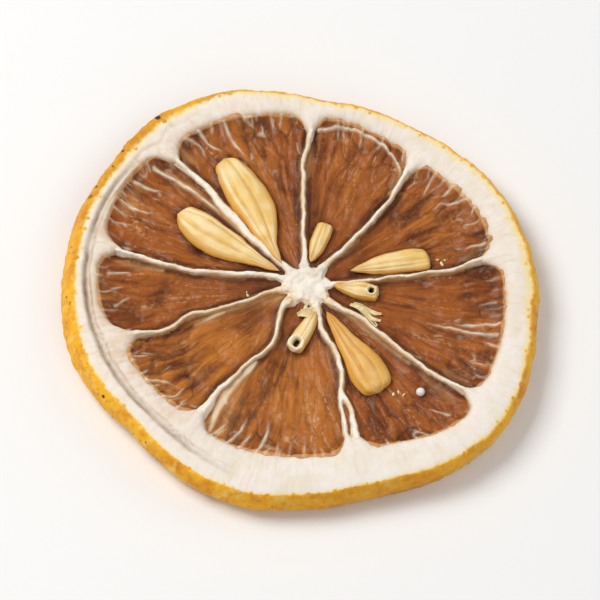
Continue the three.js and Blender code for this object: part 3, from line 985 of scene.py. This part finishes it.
pulp = {
    "along": 150,
    "across": 112,
    "from": 1.7,
    "under": 0.4,                # how far it runs on beneath the pith
    "sacs": 16,                  # long ones, besides the short ones along the pith
    "gather": 0.85,              # below 1, rows gather towards the rind
    "sheets": [                  # short sacs: how far in from the pith, spacing, length and breadth
        (0.6, 1.5, 1.2, 0.75), (2.4, 1.8, 2.4, 0.8), (5.0, 2.0, 3.2, 0.9),
    ],
    "drift": [(0.30, 1.8, 1, 40), (0.10, 0.7, 1, 60)],    # height, size, layers and seed
    "glow": [0.38, 0.26, 0.44, 0.24, 0.20, 0.97, 0.78, 0.11, 0.18],    # how amber each segment is: its own tone, and a painted glow of light shining through it
    "skins": [                   # white skins: segment, strength, then angle and radius from outside in
        (0, 0.9, (30, 18.3), (33, 16.8), (36, 15.4)), (0, 0.7, (44, 17.6), (43, 16.2), (41, 15.0)),
        (0, 0.7, (37, 17.8), (37, 16.6)), (0, 0.6, (22, 18.0), (24, 16.6)), (0, 0.7, (14, 17.8), (15, 15.6)),
        (1, 1.0, (86, 17.0), (78, 17.6), (66, 17.2), (58, 16.4), (52.5, 15.0), (51.5, 12.6)),
        (1, 0.5, (72, 17.6), (71, 15.8)), (1, 0.5, (80, 18), (79, 16.2)),
        (2, 0.8, (114.5, 19.6), (114, 17.2), (112, 15.2)), (2, 0.9, (122, 20.0), (121, 18.2), (118, 17.0)),
        (2, 0.7, (127, 20.2), (124, 18.6), (125, 17.0)), (2, 0.5, (106, 19.8), (107, 17.8)),
        (3, 0.9, (146, 20.2), (145, 18.8), (143, 17.4)), (3, 0.8, (153, 20.2), (153, 18.4), (151, 16.6)),
        (3, 1.0, (139, 19.8), (137.6, 17.6), (136.4, 14.2), (135.5, 11)), (3, 0.6, (160, 20), (158, 18.2)),
        (4, 0.7, (176, 19.2), (175, 16.8)), (4, 0.6, (187, 18.6), (184, 17.0)),
        (4, 0.5, (181, 18.8), (180, 17.6)),
        (5, 0.7, (206, 18.4), (207, 16.6)), (5, 0.9, (215, 18.7), (217, 17.4), (221, 16.6)),
        (5, 0.9, (222, 18.8), (224, 17.4), (223, 15.8)), (5, 0.7, (228, 18.8), (227, 16.8)),
        (6, 0.9, (241, 18.8), (243, 16.6)), (6, 0.9, (246, 19.0), (248, 16.8), (248, 15.0)),
        (6, 0.8, (250, 19.0), (252, 16.6)), (6, 0.9, (255, 19.3), (256.5, 16.6), (256, 14.6)),
        (6, 0.5, (262, 19.6), (262, 17.6)), (7, 0.6, (305, 20.2), (303, 18.4)),
        (7, 0.7, (314, 19.6), (311, 17.6)),
        (7, 0.5, (297, 20.6), (297, 19.0)), (8, 0.9, (343, 19.2), (342, 15.0), (341, 12.0)),
        (8, 0.9, (347, 19.0), (345, 16.6), (344, 14.4)), (8, 0.6, (333, 19.4), (332, 17.6)),
        (8, 0.5, (354, 18.4), (353, 16.6)),
    ],
    "films": [                   # membrane on the pulp: segment, strength, half width, angles and radii
        (6, 1.15, 0.55, (239.5, 9.6), (237.6, 12), (236.6, 14), (237.6, 16), (239.8, 18.6)),
        (6, 0.5, 0.9, (240, 13), (242, 16), (243, 18)),
        (7, 0.68, 0.34, (322.4, 3.2), (321.8, 6), (320.4, 8), (319.6, 10), (319.2, 13)),
        (7, 0.5, 0.4, (318.5, 15), (318, 19)),
        (5, 0.7, 0.7, (208, 2.6), (201, 4.6)), (5, 0.6, 0.4, (196, 3.4), (199.5, 6), (199.6, 9.4)),
        (5, 0.9, 0.34, (199.6, 8.4), (200.4, 9.8), (201.4, 11.6)),
        (3, 0.8, 0.3, (138.2, 19), (136.6, 16), (136, 12), (137.2, 8)),
        (3, 0.6, 0.8, (148, 19.6), (156, 19.4)),
        (2, 0.6, 0.5, (129.5, 19.2), (128.5, 17.4)), (4, 0.6, 0.3, (172, 18.6), (173, 14)),
        (4, 0.4, 0.3, (173, 10), (172, 6)), (8, 0.5, 0.4, (325, 19), (325, 16)),
        (1, 0.6, 0.4, (54.5, 17), (51.6, 13)), (0, 0.6, 0.3, (45.4, 4.6), (45.6, 7.2)),
        (0, 0.4, 0.4, (11, 17.4), (11, 15.4)), (1, 0.5, 0.25, (88.4, 17.4), (88.4, 14.4), (89.4, 12)),
    ],
    "smooth": (1, 7),            # segments with few skins along the pith
    "skinGap": (3.4, 7.5),       # degrees between those skins, and in the smooth segments
    "skinHeight": 0.22,
    "climb": (0.80, 0.7),        # how high it rises against the pith, and over what distance
    "wallClimb": (0.15, 0.35),
    "swells": [(0.24, 3.0, 2, 75)],
    "sacHeight": 0.20,
    "seamHeight": 0.10,
    "strandHeight": 0.20,
    "crumpleHeight": 0.12,
    "seedBank": 0.12,
    "surface": [],               # where the finished tops lie, for what rests on them
}


def sacField(radius, angle, index, reach):
    # shrunken juice sacs, short beside the pith and long within: distance to the next one's skin, and a tone
    own = np.random.default_rng(100 + index)
    low = float(wallAngle(index, np.array(15.0)))
    high = float(wallAngle(index + 1, np.array(15.0)))
    sacs = []
    for depth, spacing, length, broad in pulp["sheets"]:
        step = math.degrees(spacing / (reach.mean() - depth))
        for at in np.arange(low - 3, high + 3, step):
            place = at + own.uniform(-0.35, 0.35) * step
            share = (at - low) / (high - low)
            out = float(reachAt(index, min(max(share, 0), 1))) - depth + own.uniform(-0.7, 0.7)
            sacs.append((out, place, length * own.uniform(0.8, 1.3), broad * own.uniform(0.8, 1.25)))
    for _ in range(pulp["sacs"]):
        out = math.sqrt(own.uniform(2.2 ** 2, (reach.mean() - 5.5) ** 2))
        sacs.append((out, own.uniform(low - 3, high + 3), own.uniform(3.0, 5.0), 0.4 + 0.045 * out))
    tones = own.uniform(0, 1, len(sacs))
    wide = plane(radius, angle)
    swirl = radius + 0.5 * softNoise(wide, 2.4, 20 + index)
    drift = swells(wide, [(*row, seed + index) for *row, seed in pulp["drift"]])
    best = np.full(len(radius), 9e9)
    second = np.full(len(radius), 9e9)
    owner = np.zeros(len(radius), int)
    for i, (out, place, length, broad) in enumerate(sacs):
        sideways = np.radians(angle - place) * radius + drift
        distance = np.hypot((swirl - out) / length, sideways / broad)
        closer = distance < best
        second = np.where(closer, best, np.minimum(second, distance))
        owner = np.where(closer, i, owner)
        best = np.where(closer, distance, best)
    return second - best, tones[owner]


def lineDistance(wide, places):
    # distance from points in plan to a line through radii and angles, and the share along it
    corners = plane(places[:, 1], places[:, 0])[:, :2]
    best = np.full(len(wide), 9e9)
    where = np.zeros(len(wide))
    for i in range(len(corners) - 1):
        start = corners[i]
        run = corners[i + 1] - start
        share = np.clip((wide[:, :2] - start) @ run / (run @ run), 0, 1)
        distance = np.linalg.norm(wide[:, :2] - start - np.outer(share, run), axis=1)
        where = np.where(distance < best, (i + share) / (len(corners) - 1), where)
        best = np.minimum(best, distance)
    return best, where


def skinField(wide, index):
    # single skins standing up from the pulp: the listed ones, and short ones along the pith
    own = np.random.default_rng(400 + index)
    lines = [(strength, corners) for segment, strength, *corners in pulp["skins"] if segment == index]
    low = float(wallAngle(index, np.array(18.0)))
    high = float(wallAngle(index + 1, np.array(18.0)))
    for at in np.arange(low + 3, high - 2, pulp["skinGap"][index in pulp["smooth"]]):
        outAngle = at + own.uniform(-0.9, 0.9)
        outer = float(reachAt(index, (outAngle - low) / (high - low))) + 0.2
        inner = outer - own.uniform(0.6, 2.4)
        bend = own.uniform(-2.0, 2.0)
        middle = (outAngle + bend * 0.3, outer * 0.5 + inner * 0.5)
        lines.append((own.uniform(0.05, 0.7), ((outAngle, outer), middle, (outAngle + bend, inner))))
    sideways = [softNoise(wide, 0.9, seed) for seed in (430, 431)]
    bent = wide + 0.10 * np.stack([*sideways, wide[:, 2] * 0], 1)
    field = np.zeros(len(wide))
    for strength, corners in lines:
        places = np.array(corners, float)
        finer = np.linspace(0, len(places) - 1, 4 * (len(places) - 1) + 1)
        smooth = [curveThrough(list(enumerate(column)), finer) for column in places.T]
        distance, share = lineDistance(bent, np.stack(smooth, 1))
        breadth = (0.15 - 0.07 * share) * (0.75 + 0.4 * strength)
        fade = smoothStep(1.0, 0.6, share) * (0.75 + 0.5 * softNoise(wide, 0.8, 440 + index))
        field = np.maximum(field, bell(distance, breadth) * fade * strength)
    return np.clip(field, 0, 1)


def filmField(wide, index):
    field = np.zeros(len(wide))
    torn = 0.9 + 0.25 * softNoise(wide, 1.4, 450 + index)
    for segment, strength, halfWidth, *corners in pulp["films"]:
        if segment == index:
            distance, share = lineDistance(wide, np.array(corners, float))
            narrow = halfWidth * (0.45 + 0.55 * np.sin(np.pi * np.clip(share, 0, 1)) ** 0.5)
            field = np.maximum(field, strength * torn * bell(distance, narrow))
    return field


def buildPulp(index):
    slab, along, across, top = newSlab(pulp["along"], pulp["across"])
    along = along ** pulp["gather"]
    reach = reachAt(index, across)
    radius = pulp["from"] + (reach + pulp["under"] - pulp["from"]) * along
    first = wallAngle(index, radius)
    last = wallAngle(index + 1, radius)
    angle = first + (last - first) * across
    wide = plane(radius, angle)
    toWall = np.minimum(across, 1 - across) * np.radians(last - first) * radius - slicePlan["wallHalf"]
    toPith = pithEdge(angle) - radius
    skin, tone = sacField(radius, angle, index, reach)
    seam = bell(skin, 0.13)
    listed = skinField(wide, index)
    near = seedBank(wide)

    bow = np.sin(np.pi * np.clip(along, 0, 1)) * np.sin(np.pi * across)
    outer = smoothStep(0.35, 0.95, along)
    patchy = 0.5 + 0.5 * softNoise(wide, 3.2, 77 + index)
    strong = np.clip(0.30 + 0.7 * outer + 0.6 * (patchy - 0.5), 0.15, 1.2)
    whitish = smoothStep(0.25, 0.65, softNoise(wide, 1.7, 78 + index) + 0.35 * (outer - 0.6))
    whitish = whitish * smoothStep(0.4, 0.8, along)
    beside = np.maximum(toWall, 0)
    wallRise, wallReach = pulp["wallClimb"]
    pithRise, pithReach = pulp["climb"]
    climb = wallRise * fading(toWall, wallReach)
    climb = climb + pithRise * (1 - bell(beside, 0.5)) * fading(toPith, pithReach)
    radial = plane(13, angle) + upright(radius * 0.22)
    sideways = [softNoise(wide, 2.1, seed + index) for seed in (71, 72)]
    radial = radial + 0.5 * np.stack([*sideways, radius * 0], 1)
    strands = foldNoise(radial, 1.5, 3, 70 + index)
    crumple = foldNoise(wide, 1.3, 2, 80 + index)
    dome = smoothStep(0.0, 0.7, skin) - 0.5
    relief = (pulp["sacHeight"] * dome + pulp["seamHeight"] * seam * whitish) * strong * patchy * 1.4
    relief += swells(wide, [(*row, seed + index) for *row, seed in pulp["swells"]])
    ridges = pulp["strandHeight"] * (strands - 0.45) + pulp["crumpleHeight"] * (crumple - 0.4)
    relief += ridges * (0.4 + 0.6 * strong)
    relief += (tone - 0.5) * 0.18 * outer
    relief = relief * (1 - 0.75 * fading(toWall, 0.35))
    high = slicePlan["pulpTop"] + 0.05 - slicePlan["pulpSag"] * bow + climb + relief
    high = high + pulp["seedBank"] * near * (1 - climb) + pulp["skinHeight"] * listed
    low = slicePlan["pulpBase"] + 0.1 * bow - climb * 0.4 - relief * 0.8
    wide[:, 2] = np.where(top, high, np.minimum(low, high - 0.25))
    pulp["surface"].append(wide[top])
    placePoints(slab, wide)

    groove = bell(skin, 0.18) * (1 - whitish) * strong * patchy
    spot = bell(along - 0.6, 0.42) * bell(across - 0.5, 0.42)
    # a painted glow of light through the pulp, strongest in each segment's middle, over its own amber tone
    glow = pulp["glow"][index] * (0.25 + 0.85 * spot) + 0.35 * (tone - 0.55) * outer
    fringe = 0.55 * (0.6 + 0.7 * softNoise(wide, 1.3, 96 + index)) * bell(beside, 0.16)
    # painted shade along the membranes, which goes with the sac grooves, the low relief and the seeds'
    # outlines into the painted shade mark
    byWall = (0.65 + 0.35 * softNoise(wide, 1.8, 95)) * bell(beside - 0.28, 0.30)
    byWall = byWall + (0.20 + 0.12 * softNoise(wide, 2.6, 97)) * bell(beside, 0.9)
    sunk = groove * 0.7 + np.clip(-relief * 2.2 - 0.15, 0, 0.6) + byWall + 0.75 * near * top
    bent = angle + 2.6 * softNoise(wide, 4.2, 91 + index) + 0.4 * softNoise(wide, 1.4, 92 + index)
    otherBent = bent + 4 * softNoise(wide, 2.4, 94 + index)
    length = radius + 0.7 * softNoise(wide, 1.9, 93 + index)
    addMarks(slab, ridge=np.clip(0.8 * smoothStep(0.50, 0.85, strands) * strong, 0, 1),
             glow=np.clip(glow, 0, 1),
             dry=np.clip(fading(toPith, 0.35), 0, 1),
             calm=smoothStep(11, 4, radius),
             thread=np.clip(np.maximum(listed, seam * whitish * 0.6 * outer), 0, 1),
             film=np.clip(np.maximum(filmField(wide, index), fringe), 0, 1.3),
             sunk=np.clip(sunk, 0, 1),
             fibre=plane(14 / 0.62, bent) + upright(length / 4.6),
             fibreToo=plane(14 / 0.6, otherBent) + [5, 5, 0] + upright(length / 1.9))
    pick(slab)
    bpy.ops.object.shade_smooth()
    finishPiece(slab, "pulp_%d" % (index + 1), "pulp", finishes["pulp"])


for number in range(wallCount):
    clearSelection()
    buildPulp(number)


# ---- membranes and core ----

membrane = {
    "steps": 90,
    "levels": 16,
    "voxel": 0.00011,
    "from": 1.2,                 # radius, inside the core
    "crest": 0.09,               # how ragged its top edge is
    "lean": 0.14,
    "wander": 0.22,              # how its thickness varies
    "foot": (0.12, 0.28),        # how much thicker where the pulp meets it, and over what height
    "atPith": (0.26, 1.0),
    "atCore": (0.20, 0.7),
    "halvesAt": (3, 7, 12, 18),  # the radii of the half thicknesses below
    "halves": [
        (0.22, 0.16, 0.17, 0.20), (0.25, 0.21, 0.21, 0.20), (0.25, 0.20, 0.23, 0.21),
        (0.28, 0.38, 0.46, 0.20), (0.25, 0.24, 0.24, 0.21), (0.22, 0.19, 0.22, 0.22),
        (0.26, 0.18, 0.21, 0.50), (0.28, 0.26, 0.26, 0.28), (0.30, 0.25, 0.21, 0.22),
    ],
    "forkHalves": (0.15, 0.15, 0.15, 0.19),
    "core": (1.75, 1.12),        # middle height and half height
    "swells": [(0.05, 0.9, 2, 95), (0.03, 0.35, 1, 96)],    # height, size, layers and seed
    "brown": [0.5, 0.35, 0.45, 0.0, 0.2, 0.9, 0.3, 0.1, 0.4],
    "golden": [                  # patches by the core: place and size
        (-2.3, -1.0, 0.9), (-1.5, -1.6, 0.6), (0.3, -2.4, 0.7), (2.2, -1.4, 0.6), (-3.8, -1.5, 0.8),
    ],
}


def buildWall(angleAt, startRadius, endRadius, seed, halves):
    wall, share, level, onTop = newSlab(membrane["steps"], membrane["levels"])
    side = np.where(onTop, -1.0, 1.0)
    radius = startRadius + (endRadius - startRadius) * share
    line = np.stack([radius, radius * 0 + seed * 7.3, radius * 0], 1)
    top = slicePlan["wallTop"] + 0.5 * smoothStep(endRadius - 3.2, endRadius - 0.6, radius)
    top = top + membrane["crest"] * layeredNoise(line, 1.3, 2, seed)
    base = slicePlan["wallBase"] - 0.15 * smoothStep(endRadius - 3, endRadius, radius)
    height = base + (top - base) * level
    thick = curveThrough(list(zip(membrane["halvesAt"], halves)), radius)
    thick = thick * (1 + membrane["wander"] * layeredNoise(line + [0, 3, 0], 1.7, 2, seed + 1))
    for (more, reach), distance in ((membrane["atPith"], endRadius - radius),
                                    (membrane["atCore"], radius - slicePlan["hub"])):
        thick = thick + more * np.exp(-distance / reach)
    thick = thick * (1.3 - 0.72 * smoothStep(slicePlan["pulpTop"] - 0.35, top, height))
    foot, footHeight = membrane["foot"]
    thick = thick + foot * np.exp(-np.abs(height - slicePlan["pulpTop"]) / footHeight)
    lean = membrane["lean"] * layeredNoise(line + [0, 0, 5], 2.2, 2, seed + 2) * (height - 1.6) / 1.2
    offset = side * thick + lean
    angle = angleAt(radius)
    points = plane(radius, angle, height) + plane(offset, angle + 90)
    writePoints(wall, points * mm)
    return wall


def buildMembranes():
    parts = []
    for index in range(wallCount):
        halves = membrane["halves"][index]
        if index == forkWall["parent"]:
            end = float(pithEdge(forkAngles(np.array([18.0]))[0])[0]) + 1.2
            parts.append(buildWall(lambda r: forkAngles(r)[0], membrane["from"], end, 200 + index, halves))
            parts.append(buildWall(lambda r: forkAngles(r)[1], forkWall["from"] - 1.5, end, 230,
                                   membrane["forkHalves"]))
        else:
            end = float(pithEdge(np.array([cuspAngle(index)]))[0]) + 1.2
            parts.append(buildWall(lambda r: wallAngle(index, r), membrane["from"], end, 200 + index, halves))
    bpy.ops.mesh.primitive_uv_sphere_add(segments=64, ring_count=32, radius=1, location=(0, 0, 0))
    hub = bpy.context.object
    points = readPoints(hub)
    turn = np.degrees(np.arctan2(points[:, 1], points[:, 0]))
    swell = slicePlan["hub"] * (0.88 + 0.14 * softNoise(plane(1, turn), 0.5, 90))
    middle, half = membrane["core"]
    height = middle + half * np.sign(points[:, 2]) * np.abs(points[:, 2]) ** 0.7
    writePoints(hub, np.stack([points[:, 0] * swell, points[:, 1] * swell, height], 1) * mm)
    parts.append(hub)
    whole = joinPieces(parts, "membranes")
    remesh = whole.modifiers.new("even skin", "REMESH")
    remesh.mode = "VOXEL"
    remesh.voxel_size = membrane["voxel"]
    soften = whole.modifiers.new("soften", "SMOOTH")
    soften.factor = 0.5
    soften.iterations = 3
    applyAll(whole)
    points = readPoints(whole) / mm
    radius = np.hypot(points[:, 0], points[:, 1])
    placePoints(whole, points)
    middle = smoothStep(3.6, 2.0, radius)
    knobs = 0.20 * layeredNoise(points, 1.0, 2, 97) - 0.16 * foldNoise(points, 0.9, 1, 99) + 0.08
    pushOut(whole, swells(points, membrane["swells"]) + middle * knobs)
    up = (points[:, 2] - 2.25) / 0.6
    down = (1.05 - points[:, 2]) / 0.5
    turned = np.degrees(np.arctan2(points[:, 1], points[:, 0]))
    brown = np.zeros(len(points))
    for index in range(wallCount):
        off = np.abs(np.radians(angleFrom(turned, wallAngle(index, radius)))) * radius
        brown = np.maximum(brown, membrane["brown"][index] * (off < 0.9))
    golden = [bell(np.hypot(points[:, 0] - x, points[:, 1] - y), size) for x, y, size in membrane["golden"]]
    inCore = middle * (0.75 + 0.5 * softNoise(points, 0.8, 98))
    addMarks(whole, brown=brown * (1 - middle), middle=middle, gold=np.max(golden, axis=0),
             height=np.maximum(np.maximum(up, down), inCore))
    tidyMesh(whole, 0.000001)
    finishPiece(whole, "membranes", "membrane", finishes["membrane"])


clearSelection()
buildMembranes()


# ---- seeds ----

def foldBells(shape, around, width):
    return [bell(np.cos(around) - fold, width) for fold in seedPlan["folds"][shape]]


def buildSeed(name, seed):
    blunt, tip, width, thick, hole, shape = seedPlan["seeds"][name]
    bpy.ops.mesh.primitive_uv_sphere_add(segments=80, ring_count=72, radius=1, location=(0, 0, 0))
    body = bpy.context.object
    points = readPoints(body)
    share = np.arccos(np.clip(points[:, 2], -1, 1)) / np.pi              # 0 at the blunt end
    share = 0.35 * (0.5 - 0.5 * np.cos(np.pi * share)) + 0.65 * share ** 1.15
    around = np.arctan2(points[:, 1], points[:, 0])
    pole = np.abs(points[:, 2]) > 0.9999
    half = np.where(pole, 0, seedHalf(shape, share, np.cos(around) > 0))
    both = np.where(pole, 0, seedHalf(shape, share, True) + seedHalf(shape, share, False))
    length, axis, right = seedAxis(blunt, tip)
    over = np.cos(around) * half * width
    rise = np.sin(around) * 0.5 * both * thick
    for fold in foldBells(shape, around, 0.10):
        rise -= seedPlan["foldDepth"] * thick * fold * (rise > 0) * np.clip(both * 2 - 0.2, 0, 1)
    flatPoints = np.array(blunt) + np.outer(share * length, axis) + np.outer(over, right)
    lift = seedPlan["tipLift"] * smoothStep(0.5, 1.0, share)
    placed = np.stack([flatPoints[:, 0], flatPoints[:, 1], seedPlan["middle"] + lift + rise], 1)
    placePoints(body, placed)
    lengthwise = np.stack([np.cos(around) * 2.2, np.sin(around) * 2.2, share * length * 0.22], 1) + seed * 3.7
    relief = swells(lengthwise, [(*row, seed + more) for *row, more in seedPlan["lengthwiseSwells"]])
    relief += swells(placed, [(*row, seed + more) for *row, more in seedPlan["swells"]])
    relief *= smoothStep(0.0, 0.6, both)
    pit = np.zeros(len(points))
    lip = np.zeros(len(points))
    if hole:
        mouth = np.array(blunt) + axis * length * seedPlan["opening"]
        reach = np.hypot(flatPoints[:, 0] - mouth[0], flatPoints[:, 1] - mouth[1]) / hole
        pit = np.exp(-reach ** 4) * (rise > 0)
        lip = bell(reach - 1.35, 0.35) * (rise > 0)
        relief += seedPlan["lip"] * lip - seedPlan["pitDepth"] * pit
    pushOut(body, relief)
    crease = np.max(foldBells(shape, around, 0.09), axis=0) * (np.sin(around) > 0)
    crease = crease * smoothStep(0.05, 0.3, share) * (0.5 + 0.5 * softNoise(placed, 1.1, seed))
    addMarks(body, grain=lengthwise * 1.2, crease=crease, lip=lip,
             tip=smoothStep(0.66, 1.0, share) + 0.3 * smoothStep(0.08, 0.0, share),
             # the seed's sides: painted shade and the husk's own orange
             flank=smoothStep(0.80, 0.15, np.sin(around)) + 0.5 * (np.abs(np.cos(around)) > 0.75),
             pit=smoothStep(0.25, 0.7, pit),
             ripe=0.85 + 0.6 * share if shape == "drop" else 0.12 + 0 * share)
    tidyMesh(body, 0.000001)
    finishPiece(body, name + "_husk", "seed", finishes["seed"], name)


for number, seedName in enumerate(seedPlan["seeds"]):
    clearSelection()
    buildSeed(seedName, 300 + number * 5)


# ---- small things lying on the pulp ----

litter = {
    "scraps": [                  # one end and the other about the core, width, curl, rise
        ((4.2, -2.1), (6.9, -4.3), 0.5, 0.6, 0.3), ((4.5, -2.2), (7.3, -2.9), 0.42, 0.6, 0.4),
        ((5.0, -2.8), (7.2, -3.8), 0.4, 0.4, 0.25), ((-0.9, -3.3), (1.0, -2.6), 0.9, 0.5, 0.55),
        ((-0.6, -2.7), (0.2, -2.3), 0.5, 0.4, 0.5),
    ],
    "bead": ((10.9, -11.6), 0.42),    # place and radius
    "crumbs": [(8.3, -11.7), (8.8, -11.5), (9.3, -11.8), (12.7, 2.9), (13.1, 2.5), (13.4, 2.9), (-5.8, -0.6),
               (-5.7, -1.0)],
    "crumbSize": (0.09, 0.15),
    "skin": 0.13,                # how thick the scraps are
}


def surfaceAt(x, y):
    # height of the pulp's top about a place in plan
    every = np.concatenate(pulp["surface"])
    near = np.hypot(every[:, 0] - x, every[:, 1] - y)
    return float(np.median(every[near < max(0.25, near.min() + 0.05), 2]))


def buildScrap(number, first, last, width, curl, rise):
    bpy.ops.mesh.primitive_grid_add(x_subdivisions=40, y_subdivisions=14, size=1, location=(0, 0, 0))
    flake = bpy.context.object
    start = readPoints(flake)
    share = start[:, 0] + 0.5
    across = start[:, 1] * 2
    run = np.array(last) - np.array(first)
    side = np.array([-run[1], run[0]]) / np.linalg.norm(run)
    line = np.stack([share * 4, across * 0, share * 0 + number * 9.1], 1)
    half = 0.5 * width * np.sin(np.pi * (0.06 + 0.88 * share)) ** 0.6
    half = half * (1 + 0.35 * softNoise(line, 0.9, 500 + number))
    middle = np.array(first) + np.outer(share, run) + np.outer(0.25 * np.sin(share * 4 + number), side)
    flat = middle + np.outer(across * half, side)
    ground = surfaceAt(*(np.array(first) + run * 0.5))
    height = ground + rise * (0.5 + 0.5 * np.sin(share * 5 + number * 2)) + curl * width * across ** 2 * 0.5
    points = np.stack([flat[:, 0], flat[:, 1], height * 0], 1)
    points[:, 2] = height + 0.06 * softNoise(points, 0.5, 510 + number)
    placePoints(flake, points)
    skin = flake.modifiers.new("skin", "SOLIDIFY")
    skin.thickness = litter["skin"] * mm
    skin.offset = 0
    smooth = flake.modifiers.new("round off", "SUBSURF")
    smooth.levels = 1
    applyAll(flake)
    tidyMesh(flake, 0.000001)
    finishPiece(flake, "scrap_%d" % (number + 1), "seed", finishes["scrap"])


def buildBead():
    (x, y), radius = litter["bead"]
    bpy.ops.mesh.primitive_uv_sphere_add(segments=40, ring_count=24, radius=radius, location=(0, 0, 0))
    bead = bpy.context.object
    points = readPoints(bead)
    points = points * (1 + 0.05 * softNoise(points, 0.4, 520))[:, None]
    placePoints(bead, points + [x, y, surfaceAt(x, y) + radius * 0.7])
    tidyMesh(bead, 0.000001)
    finishPiece(bead, "bead", "sugar", finishes["grain"])


def buildCrumbs():
    parts = []
    for x, y in litter["crumbs"]:
        radius = random.uniform(*litter["crumbSize"])
        bpy.ops.mesh.primitive_ico_sphere_add(subdivisions=3, radius=radius, location=(0, 0, 0))
        crumb = bpy.context.object
        points = readPoints(crumb)
        points = points * [random.uniform(1.0, 2.0), random.uniform(0.7, 1.1), 0.6]
        points = points * (1 + 0.35 * softNoise(points + x, 0.16, 530))[:, None]
        turn = math.degrees(random.uniform(0, math.pi))
        angle = np.degrees(np.arctan2(points[:, 1], points[:, 0])) + turn
        turned = plane(np.hypot(points[:, 0], points[:, 1]), angle, points[:, 2])
        placePoints(crumb, turned + [x, y, surfaceAt(x, y) + radius * 0.35])
        parts.append(crumb)
    crumbs = joinPieces(parts, "crumbs")
    tidyMesh(crumbs, 0.000001)
    finishPiece(crumbs, "crumbs", "seed", finishes["scrap"])


for number, scrap in enumerate(litter["scraps"]):
    clearSelection()
    buildScrap(number, *scrap)
clearSelection()
buildBead()
clearSelection()
buildCrumbs()
